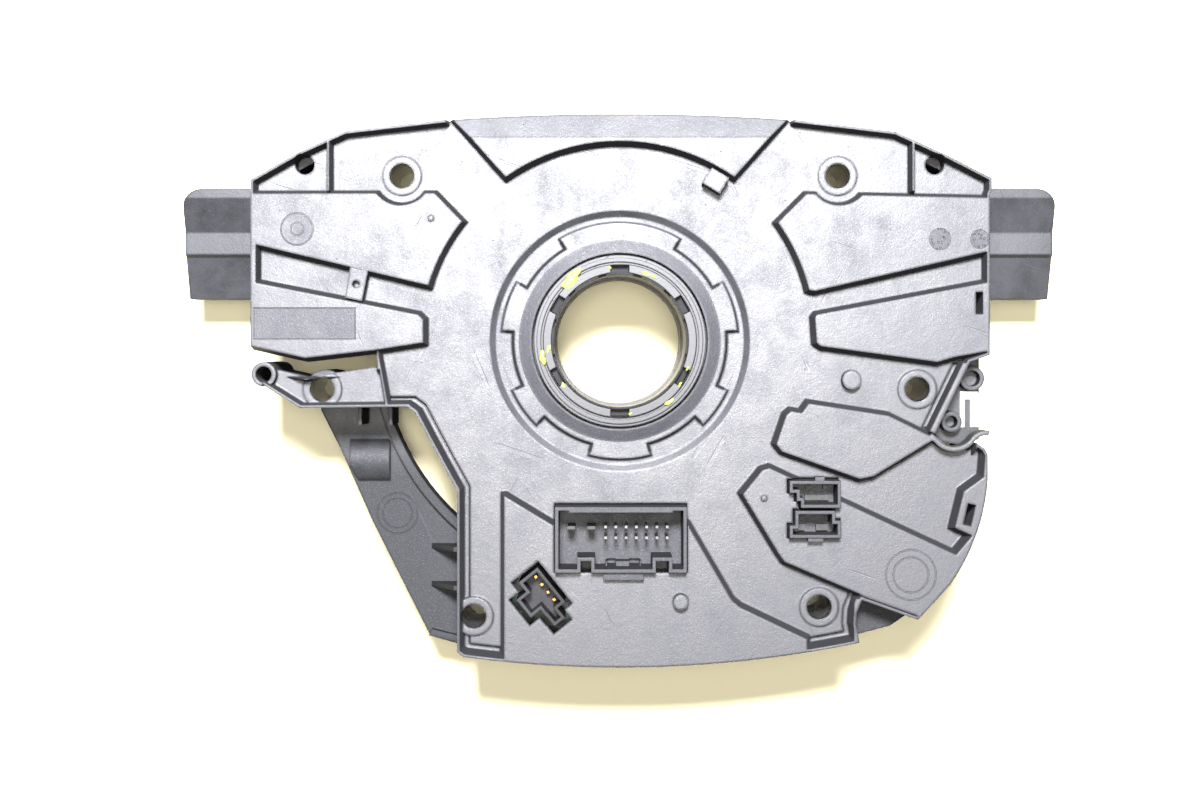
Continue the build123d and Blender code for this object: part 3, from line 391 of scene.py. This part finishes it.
def flatten_slopes(finish):
    """Shades the slopes of the dish and of the top edge as if they were flatter."""
    dish = finish.circle(0.0, 0.0, DISH_SLOPE_RADIUS).line(DISH_SLOPE_HALF_WIDTH, 0.3 * MM)
    top = finish.y.above(TOP_SLOPE_START, 0.3 * MM) * finish.z.above(TOP_SLOPE_LEVEL, 0.3 * MM)
    finish.lift_normals((0.62 * dish + 0.30 * top).clamped())


def rear_marks(finish):
    """The rear housing's frosted field, rings, dotted discs, frosted lip of the dish and smooth bores, which
    carry painted light.
    """
    border = finish.oblong(**FROSTED_FIELD)
    field = border.inside()
    x, y, radii = SMALL_RINGS
    disc = finish.circle(x, y, radii[0]).inside()
    dots = sum(finish.circle(*place).inside() for place in DOTTED_DISCS)
    lip = finish.circle(0.0, 0.0, DISH_LIP_RADIUS).inside() * finish.z.above(DISH_LIP_LEVEL, 0.2 * MM)
    lines = border.line(FIELD_LINE_HALF_WIDTH) + finish.rings(*SMALL_RINGS) + finish.rings(*LARGE_RINGS)
    pits = (finish.cells(0.9 * MM) - 0.3).inside(0.1)
    level = finish.z.above(FIELD_LEVEL, 0.1 * MM)
    rougher = (field + 0.4 * disc + dots) * level + 0.45 * lip
    sunk = (lines + dots * pits + 0.25 * field) * level
    flatten_slopes(finish)
    return Marks(rougher=rougher.clamped(), sunk=sunk, polished_and_painted_light=smooth_bores_painted_light(finish))


def tub_marks(finish):
    """The rings in the bracket of the front housing, whose lower part is duller and darkened with painted
    shade, and the smooth screw bores, which carry painted light.
    """
    sunk = finish.rings(*BRACKET_RINGS) * finish.z.above(BRACKET_MIDDLE, 0.2 * MM)
    dull_and_shaded = 1.0 - finish.y.above(BRACKET_DULL_AND_SHADED_START, BRACKET_DULL_AND_SHADED_WIDTH)
    return Marks(sunk=sunk, dull_and_shaded=dull_and_shaded, polished_and_painted_light=smooth_bores_painted_light(finish))


def smooth_plastic(name, base, worn, shine, scuff=0.5, specular=0.5):
    """Smooth moulding with fine turned marks and a few scuffs."""
    finish = Finish(name, Specular_IOR_Level=specular)
    edge = finish.round_edges(0.3 * MM)
    cloud = finish.noise(12.0 * MM, detail=3.0)
    dust = finish.noise(0.6 * MM, detail=2.0)
    scratch = finish.scratches(0.9) + finish.scratches(2.3)
    pale = (cloud * 0.8 + dust * 0.2).above(0.4, 0.3) + 0.5 * edge
    finish.feed("Base Color", finish.blend(pale.clamped(), base, worn))
    finish.feed("Roughness", (shine + 0.12 * (cloud - 0.5) + scuff * 0.25 * scratch).clamped())
    finish.emboss(dust + 0.5 * scratch, depth=0.03 * MM, strength=0.5)
    return finish.material


def rolled_metal(name, base, tarnish, shine):
    """Rolled or turned metal: fine lines one way, tarnish in clouds and small pits."""
    finish = Finish(name, Metallic=1.0)
    line = finish.noise(0.5 * MM, detail=3.0, place=finish.stretched(1.0, 0.08, 0.3))
    cloud = finish.noise(3.0 * MM, detail=4.0, roughness=0.6)
    pit = finish.cells(0.8 * MM)
    finish.feed("Base Color", finish.blend(cloud.above(0.45, 0.3) * 0.7, base, tarnish))
    finish.feed("Roughness", (shine + 0.18 * (line - 0.5) + 0.12 * (cloud - 0.5)).clamped())
    finish.emboss(line * 0.7 + pit * 0.3, depth=0.03 * MM, strength=0.5)
    return finish.material


def laminate(name, lacquer, copper):
    """Lacquered board: glass weave under the lacquer and paler tracks of copper."""
    finish = Finish(name, Specular_IOR_Level=0.3)
    weave = finish.noise(0.6 * MM, detail=1.0, place=finish.stretched(1.0, 0.3, 1.0))
    track = finish.noise(4.5 * MM, detail=0.0, place=finish.stretched(0.35, 1.0, 1.0)).above(0.53, 0.02)
    finish.feed("Base Color", finish.blend(track * 0.8, lacquer, copper))
    finish.feed("Roughness", 0.32 + 0.2 * (weave - 0.5))
    finish.emboss(track + 0.2 * weave, depth=0.05 * MM, strength=0.6)
    return finish.material


def film(name, base, conductor):
    """Amber cable film with printed conductors that run along it."""
    finish = Finish(name)
    stripe = finish.noise(1.2 * MM, detail=0.0, place=finish.stretched(0.02, 0.02, 1.0)).above(0.5, 0.06)
    cloud = finish.noise(6.0 * MM, detail=2.0)
    finish.feed("Base Color", finish.blend(stripe, base, conductor))
    finish.feed("Roughness", 0.25 + 0.15 * (cloud - 0.5))
    finish.emboss(stripe, depth=0.04 * MM, strength=0.5)
    return finish.material


def soft_grease(name, base, thick):
    """Yellow-green bearing grease: glossy, in paler clouds, with a dragged surface."""
    finish = Finish(name, Subsurface_Weight=0.15, IOR=1.45)
    drag = finish.noise(0.9 * MM, detail=3.0, roughness=0.6, distortion=1.2)
    body = finish.noise(3.0 * MM, detail=2.0)
    finish.feed("Base Color", finish.blend(body.above(0.35, 0.3), base, thick))
    finish.feed("Roughness", 0.22 + 0.2 * (drag - 0.5))
    finish.emboss(drag, depth=0.12 * MM, strength=0.7)
    return finish.material


def pale_floor(name, base, mark):
    """Plain pale table with a barely seen mottle."""
    finish = Finish(name, Specular_IOR_Level=0.2)
    cloud = finish.noise(120.0 * MM, detail=3.0)
    tooth = finish.noise(2.0 * MM, detail=2.0)
    finish.feed("Base Color", finish.blend((cloud * 0.7 + tooth * 0.3).above(0.3, 0.5), mark, base))
    finish.feed("Roughness", 0.75 + 0.1 * (tooth - 0.5))
    finish.emboss(tooth, depth=0.05 * MM, strength=0.3)
    return finish.material


def dress(material, *names):
    """Gives CAD nodes a finish."""
    for name in names:
        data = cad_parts[name].data
        data.materials.clear()
        data.materials.append(material)


def mesh_object(name, points, faces):
    """A mesh object at the origin from an array of points and an array of faces."""
    data = bpy.data.meshes.new(name)
    data.from_pydata(points.tolist(), [], faces.tolist())
    data.update()
    made = bpy.data.objects.new(name, data)
    bpy.context.scene.collection.objects.link(made)
    return made


def smear_faces(count, rings, around):
    """Quads of count smears, each a stack of rings that ends in a pinhole at either pole."""
    ring = np.arange(rings)[:, None] * around
    step = np.arange(around)[None, :]
    following = (step + 1) % around
    low, high = ring[:-1], ring[1:]
    quads = np.stack([low + step, low + following, high + following, high + step], -1).reshape(-1, 4)
    size = rings * around
    return (quads[None] + size * np.arange(count)[:, None, None]).reshape(-1, 4)


def smear_mesh(rows, tops, heights, around=28, rings=12):
    """Points and faces of the smears. Each is a flattened pebble: the angle u runs almost from pole to pole
    and v goes round. Its radius is sin u, waved by three sines of v whose phase differs from smear to smear.
    Its height is cos u with a bumpy rim, full above the surface and a third below it. Length, width and turn
    place it in the plane."""
    end_gap = 0.02
    sunk_share = 0.34
    waves = ((0.22, 2, 1.0), (0.13, 3, -2.1), (0.07, 5, 3.0))
    x, y, lengths, widths, turns = np.array(rows).T[:, :, None, None]
    u = np.linspace(end_gap, math.pi - end_gap, rings)[None, :, None]
    v = np.linspace(0, 2 * math.pi, around, endpoint=False)[None, None, :]
    phase = (np.arange(len(rows)) * 1.7)[:, None, None]
    radius = np.sin(u) * sum((share * np.sin(times * v + shift * phase) for share, times, shift in waves), 1)
    along = radius * np.cos(v) * lengths / 2
    across = radius * np.sin(v) * widths / 2
    turn = np.radians(turns)
    lift = np.cos(u) * np.where(np.cos(u) > 0, 1.0, sunk_share)
    bumps = 1 + 0.25 * np.sin(4 * v + 2 * phase) * np.sin(u)
    points = np.stack([
        x + along * np.cos(turn) - across * np.sin(turn),
        y + along * np.sin(turn) + across * np.cos(turn),
        np.asarray(tops)[:, None, None] + lift * bumps * np.asarray(heights)[:, None, None],
    ], -1)
    return points.reshape(-1, 3) * MM, smear_faces(len(rows), rings, around)


def panel_light(name, place, target, width, power, colour):
    """A soft square light that faces a point."""
    data = bpy.data.lights.new(name, "AREA")
    data.shape = "RECTANGLE"
    data.size = width
    data.size_y = width
    data.energy = power
    data.color = colour
    made = bpy.data.objects.new(name, data)
    bpy.context.scene.collection.objects.link(made)
    made.location = place
    direction = Vector(np.subtract(target, place))
    made.rotation_euler = direction.to_track_quat("-Z", "Y").to_euler()


def lay_floor(colour):
    """A square table just under the part."""
    corners = FLOOR_HALF * np.array([(-1, -1, 0), (1, -1, 0), (1, 1, 0), (-1, 1, 0)])
    corners[:, 2] = cad_box[0].z - FLOOR_DROP
    floor = mesh_object("floor", corners, np.array([(0, 1, 2, 3)]))
    floor.data.materials.append(pale_floor("table", colour, scaled(colour, 0.95)))


def light_room(scene, colour, strength):
    """An even light from all sides."""
    world = bpy.data.worlds.new("room")
    world.use_nodes = True
    background = world.node_tree.nodes["Background"]
    background.inputs["Color"].default_value = (*colour, 1.0)
    background.inputs["Strength"].default_value = strength
    scene.world = world


def place_camera(scene):
    """The photo's view, straight down, with the lens shifted to set the part where the photo has it."""
    data = bpy.data.cameras.new("camera")
    data.sensor_width = SENSOR_WIDTH
    data.lens = LENS
    data.shift_x, data.shift_y = [pixels / PICTURE_WIDTH for pixels in PICTURE_SHIFT]
    camera = bpy.data.objects.new("camera", data)
    camera.location = CAMERA_PLACE
    scene.collection.objects.link(camera)
    scene.camera = camera


def colour_property(name, description, default):
    """A colour that a user can change."""
    return bpy.props.FloatVectorProperty(
        name=name, description=description, subtype="COLOR", default=default, min=0.0, max=1.0)


class PlasticSettings(bpy.types.PropertyGroup):
    """Colours and grain of the mouldings."""

    housing_dark: colour_property(
        "Housing dark", "Darker tone of the rear housing", (0.010, 0.010, 0.012))
    housing_light: colour_property(
        "Housing light", "Paler tone of the rear housing's flow marks", (0.018, 0.018, 0.022))
    fibre_colour: colour_property(
        "Fibre colour", "Colour of the glass fibres at the surface", (0.075, 0.075, 0.085))
    # The worn colour is also painted on the screw bores as painted light.
    worn_colour: colour_property(
        "Worn colour", "Colour of rubbed edges and scratches", (0.05, 0.05, 0.056))
    tub_colour: colour_property(
        "Tub colour", "Colour of the front housing", (0.0215, 0.022, 0.0232))
    sleeve_colour: colour_property(
        "Sleeve colour", "Colour of the sleeve and the hub", (0.012, 0.012, 0.014))
    sleeve_worn: colour_property(
        "Sleeve worn", "Rubbed colour of the sleeve, the hub and the code disc", (0.02, 0.02, 0.023))
    ring_colour: colour_property(
        "Ring colour", "Colour of the castellated ring", (0.006, 0.006, 0.007))
    ring_worn: colour_property(
        "Ring worn", "Rubbed colour of the castellated ring", (0.02, 0.02, 0.022))
    disc_colour: colour_property(
        "Disc colour", "Colour of the code disc", (0.02, 0.02, 0.022))
    header_colour: colour_property(
        "Header colour", "Colour of the four-way header and the black sockets", (0.008, 0.008, 0.009))
    header_worn: colour_property(
        "Header worn", "Rubbed colour of the four-way header and the black sockets", (0.03, 0.03, 0.033))
    airbag_colour: colour_property(
        "Airbag socket colour", "Colour of the two airbag sockets", (0.70, 0.50, 0.03))
    airbag_worn: colour_property(
        "Airbag socket worn", "Rubbed colour of the two airbag sockets", (0.80, 0.62, 0.08))
    grain_size: bpy.props.FloatProperty(
        name="Grain size", description="Size of the etched grain", subtype="DISTANCE", default=0.00045,
        min=0.00005, max=0.002)


class MetalSettings(bpy.types.PropertyGroup):
    """Colours of the metals."""

    steel_colour: colour_property(
        "Steel colour", "Colour of the screws and the spring clip", (0.42, 0.39, 0.34))
    tin_colour: colour_property(
        "Tin colour", "Colour of the tinned pins and blades", (0.10, 0.10, 0.097))
    gilt_colour: colour_property(
        "Gilt colour", "Colour of the four-way header's pins", (0.30, 0.12, 0.03))


class ElectronicsSettings(bpy.types.PropertyGroup):
    """Colours of the board, the angle sensor and the flat cable."""

    board_colour: colour_property(
        "Board colour", "Colour of the board's lacquer", (0.002, 0.010, 0.005))
    track_colour: colour_property(
        "Track colour", "Colour of the copper tracks under the lacquer", (0.006, 0.022, 0.010))
    sensor_colour: colour_property(
        "Sensor colour", "Colour of the angle sensor", (0.015, 0.015, 0.016))
    sensor_worn: colour_property(
        "Sensor worn", "Rubbed colour of the angle sensor", (0.04, 0.04, 0.042))
    film_colour: colour_property(
        "Film colour", "Colour of the flat cable", (0.62, 0.36, 0.10))
    conductor_colour: colour_property(
        "Conductor colour", "Colour of the conductors in the flat cable", (0.78, 0.50, 0.20))


class GreaseSettings(bpy.types.PropertyGroup):
    """Colour and thickness of the grease left on the collar."""

    colour: colour_property(
        "Grease colour", "Colour of the grease", (0.30, 0.31, 0.06))
    pale_colour: colour_property(
        "Pale grease colour", "Colour of the paler clouds in the grease", (0.42, 0.43, 0.12))
    height: bpy.props.FloatProperty(
        name="Grease height", description="How far the smears stand up", subtype="DISTANCE", default=0.0005,
        min=0.0001, max=0.002)


class StageSettings(bpy.types.PropertyGroup):
    """Lights and floor."""

    key_power: bpy.props.FloatProperty(
        name="Key power", description="Power of the panel behind the top edge", subtype="POWER",
        default=52.0, min=0.0)
    key_width: bpy.props.FloatProperty(
        name="Key width", description="Width of the panel behind the top edge", subtype="DISTANCE",
        default=0.16, min=0.01)
    key_colour: colour_property(
        "Key colour", "Colour of the panel behind the top edge", (0.92, 0.93, 1.0))
    sky_power: bpy.props.FloatProperty(
        name="Sky power", description="Power of the panel overhead", subtype="POWER", default=9.0, min=0.0)
    sky_width: bpy.props.FloatProperty(
        name="Sky width", description="Width of the panel overhead", subtype="DISTANCE", default=0.24,
        min=0.01)
    sky_colour: colour_property(
        "Sky colour", "Colour of the panel overhead", (1.0, 0.97, 0.92))
    room_light: bpy.props.FloatProperty(
        name="Room light", description="Brightness of the room", default=0.17, min=0.0)
    room_colour: colour_property(
        "Room colour", "Colour of the room's light", (0.80, 0.84, 1.0))
    floor_colour: colour_property(
        "Floor colour", "Colour of the table", (0.97, 0.89, 0.60))


def housing_tones(made):
    """The dark, light, fleck and worn tones of the rear housing, which the connector shells share."""
    return made.housing_dark, made.housing_light, made.fibre_colour, made.worn_colour


class CLOCKSPRING_OT_rear_housing(bpy.types.Operator):
    """Finish the moulded rear housing"""

    bl_idname = "clockspring.rear_housing"
    bl_label = "Finish rear housing"

    def execute(self, context):
        made = context.scene.clockspring_plastic
        material = moulded_plastic("rear_moulding", housing_tones(made), made.grain_size, shine=0.48,
                                   marks=rear_marks, specular=0.7)
        dress(material, "rear_housing")
        return {"FINISHED"}


class CLOCKSPRING_OT_front_housing(bpy.types.Operator):
    """Finish the front housing and the cassette cup behind it"""

    bl_idname = "clockspring.front_housing"
    bl_label = "Finish front housing"

    def execute(self, context):
        made = context.scene.clockspring_plastic
        paler = scaled(made.tub_colour, 2.4)
        tones = (made.tub_colour, paler, made.fibre_colour, made.worn_colour)
        tub = moulded_plastic("tub_moulding", tones, made.grain_size, shine=0.40, marks=tub_marks,
                              specular=0.26)
        dress(tub, "front_housing")
        dress(smooth_plastic("cassette_moulding", made.tub_colour, paler, shine=0.5), "cassette_shell")
        return {"FINISHED"}


class CLOCKSPRING_OT_turning_parts(bpy.types.Operator):
    """Finish the hub, the sleeve, the castellated ring and the code disc"""

    bl_idname = "clockspring.turning_parts"
    bl_label = "Finish turning parts"

    def execute(self, context):
        made = context.scene.clockspring_plastic
        sleeve = smooth_plastic("sleeve_moulding", made.sleeve_colour, made.sleeve_worn, shine=0.42,
                                specular=0.45)
        ring = smooth_plastic("ring_moulding", made.ring_colour, made.ring_worn, shine=0.5, scuff=0.8,
                              specular=0.12)
        disc = smooth_plastic("disc_moulding", made.disc_colour, made.sleeve_worn, shine=0.5)
        dress(sleeve, "rotor_sleeve", "rotor_cover")
        dress(ring, "driver_ring")
        dress(disc, "code_disc")
        return {"FINISHED"}


class CLOCKSPRING_OT_connectors(bpy.types.Operator):
    """Finish the connector shells and the plug sockets"""

    bl_idname = "clockspring.connectors"
    bl_label = "Finish connectors"

    def execute(self, context):
        made = context.scene.clockspring_plastic
        shell = moulded_plastic("connector_moulding", housing_tones(made), 0.8 * made.grain_size, shine=0.5,
                                specular=0.38, edge_radius=0.3 * MM)
        header = smooth_plastic("header_moulding", made.header_colour, made.header_worn, shine=0.45,
                                specular=0.2)
        airbag = smooth_plastic("airbag_moulding", made.airbag_colour, made.airbag_worn, shine=0.4)
        dress(shell, "main_connector_shell", "upper_switch_socket", "lower_switch_socket")
        dress(header, "small_connector_shell", "left_stalk_socket", "right_stalk_socket", "wheel_socket")
        dress(airbag, "left_airbag_socket", "right_airbag_socket")
        return {"FINISHED"}


class CLOCKSPRING_OT_contacts(bpy.types.Operator):
    """Finish the pins, blades and contacts"""

    bl_idname = "clockspring.contacts"
    bl_label = "Finish contacts"

    def execute(self, context):
        made = context.scene.clockspring_metal
        tin = made.tin_colour
        gilt = made.gilt_colour
        bright = rolled_metal("tin_plate", tin, scaled(tin, 0.7), shine=0.5)
        # Painted shade: the contacts in the switch sockets and the power blades get a darker copy of the
        # tin.
        dull_and_shaded = rolled_metal("shaded_tin_plate", scaled(tin, 0.4), scaled(tin, 0.2), shine=0.5)
        golden = rolled_metal("gilt_plate", gilt, scaled(gilt, 0.75), shine=0.25)
        dress(bright, "main_connector_pins", "airbag_socket_contacts", "wheel_socket_contacts",
              "stalk_socket_contacts")
        dress(dull_and_shaded, "switch_socket_contacts", "power_blades")
        dress(golden, "small_connector_pins")
        return {"FINISHED"}


class CLOCKSPRING_OT_steel(bpy.types.Operator):
    """Finish the screws and the spring clip"""

    bl_idname = "clockspring.steel"
    bl_label = "Finish steel"

    def execute(self, context):
        steel = context.scene.clockspring_metal.steel_colour
        clip = rolled_metal("clip_steel", steel, scaled(steel, 0.75), shine=0.32)
        screws = rolled_metal("screw_steel", scaled(steel, 0.7), scaled(steel, 0.25), shine=0.36)
        dress(clip, "spring_clip")
        dress(screws, "housing_screws", "board_screws", "cassette_screws", "rotor_screws")
        return {"FINISHED"}


class CLOCKSPRING_OT_electronics(bpy.types.Operator):
    """Finish the board, the angle sensor and the flat cable"""

    bl_idname = "clockspring.electronics"
    bl_label = "Finish electronics"

    def execute(self, context):
        made = context.scene.clockspring_electronics
        dress(laminate("board_lacquer", made.board_colour, made.track_colour), "circuit_board")
        sensor = smooth_plastic("sensor_moulding", made.sensor_colour, made.sensor_worn, shine=0.35)
        dress(sensor, "angle_sensor")
        dress(film("cable_film", made.film_colour, made.conductor_colour), "ribbon_cable")
        return {"FINISHED"}


class CLOCKSPRING_OT_grease(bpy.types.Operator):
    """Lay the smears of grease on the collar"""

    bl_idname = "clockspring.grease"
    bl_label = "Lay grease"

    def execute(self, context):
        made = context.scene.clockspring_grease
        collar_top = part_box("rotor_sleeve")[1].z / MM
        widths = np.array(SMEARS)[:, 3]
        tops = collar_top - np.where(widths > WIDE_SMEAR, WIDE_SMEAR_DROP, SMEAR_DROP)
        heights = made.height / MM * (0.6 + 0.25 * widths)
        points, faces = smear_mesh(SMEARS, tops, heights)
        piece = mesh_object("grease_smears", points, faces)
        piece.data.polygons.foreach_set("use_smooth", np.ones(len(piece.data.polygons), dtype=bool))
        piece.data.materials.append(soft_grease("grease", made.colour, made.pale_colour))
        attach(piece, "rotor")
        return {"FINISHED"}


class CLOCKSPRING_OT_stage(bpy.types.Operator):
    """Set the floor, the lights and the camera"""

    bl_idname = "clockspring.stage"
    bl_label = "Set stage"

    def execute(self, context):
        made = context.scene.clockspring_stage
        lay_floor(made.floor_colour)
        panel_light("key_panel", KEY_PLACE, KEY_TARGET, made.key_width, made.key_power, made.key_colour)
        panel_light("sky_panel", SKY_PLACE, SKY_TARGET, made.sky_width, made.sky_power, made.sky_colour)
        light_room(context.scene, made.room_colour, made.room_light)
        place_camera(context.scene)
        context.scene.view_settings.view_transform = "Standard"
        return {"FINISHED"}


groups = {
    "clockspring_plastic": PlasticSettings,
    "clockspring_metal": MetalSettings,
    "clockspring_electronics": ElectronicsSettings,
    "clockspring_grease": GreaseSettings,
    "clockspring_stage": StageSettings,
}
operators = (
    CLOCKSPRING_OT_rear_housing,
    CLOCKSPRING_OT_front_housing,
    CLOCKSPRING_OT_turning_parts,
    CLOCKSPRING_OT_connectors,
    CLOCKSPRING_OT_contacts,
    CLOCKSPRING_OT_steel,
    CLOCKSPRING_OT_electronics,
    CLOCKSPRING_OT_grease,
    CLOCKSPRING_OT_stage,
)


class CLOCKSPRING_PT_panel(bpy.types.Panel):
    """Buttons for each group of pieces and for the stage"""

    bl_label = "Clock spring"
    bl_idname = "CLOCKSPRING_PT_panel"
    bl_space_type = "VIEW_3D"
    bl_region_type = "UI"
    bl_category = "Clock spring"

    def draw(self, context):
        for operator in operators:
            self.layout.operator(operator.bl_idname)
        for name, group in groups.items():
            for setting in group.__annotations__:
                self.layout.prop(getattr(context.scene, name), setting)


def register():
    """Makes the settings, the operators and the panel known to Blender."""
    for name, group in groups.items():
        bpy.utils.register_class(group)
        setattr(bpy.types.Scene, name, bpy.props.PointerProperty(type=group))
    for kind in (*operators, CLOCKSPRING_PT_panel):
        bpy.utils.register_class(kind)


def unregister():
    """Takes them away again, in the opposite order."""
    for kind in (CLOCKSPRING_PT_panel, *reversed(operators)):
        bpy.utils.unregister_class(kind)
    for name, group in reversed(groups.items()):
        delattr(bpy.types.Scene, name)
        bpy.utils.unregister_class(group)


def main():
    """Registers the add-on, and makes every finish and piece."""
    register()
    bpy.ops.clockspring.rear_housing()
    bpy.ops.clockspring.front_housing()
    bpy.ops.clockspring.turning_parts()
    bpy.ops.clockspring.connectors()
    bpy.ops.clockspring.contacts()
    bpy.ops.clockspring.steel()
    bpy.ops.clockspring.electronics()
    bpy.ops.clockspring.grease()
    bpy.ops.clockspring.stage()


if __name__ == "__main__":
    main()
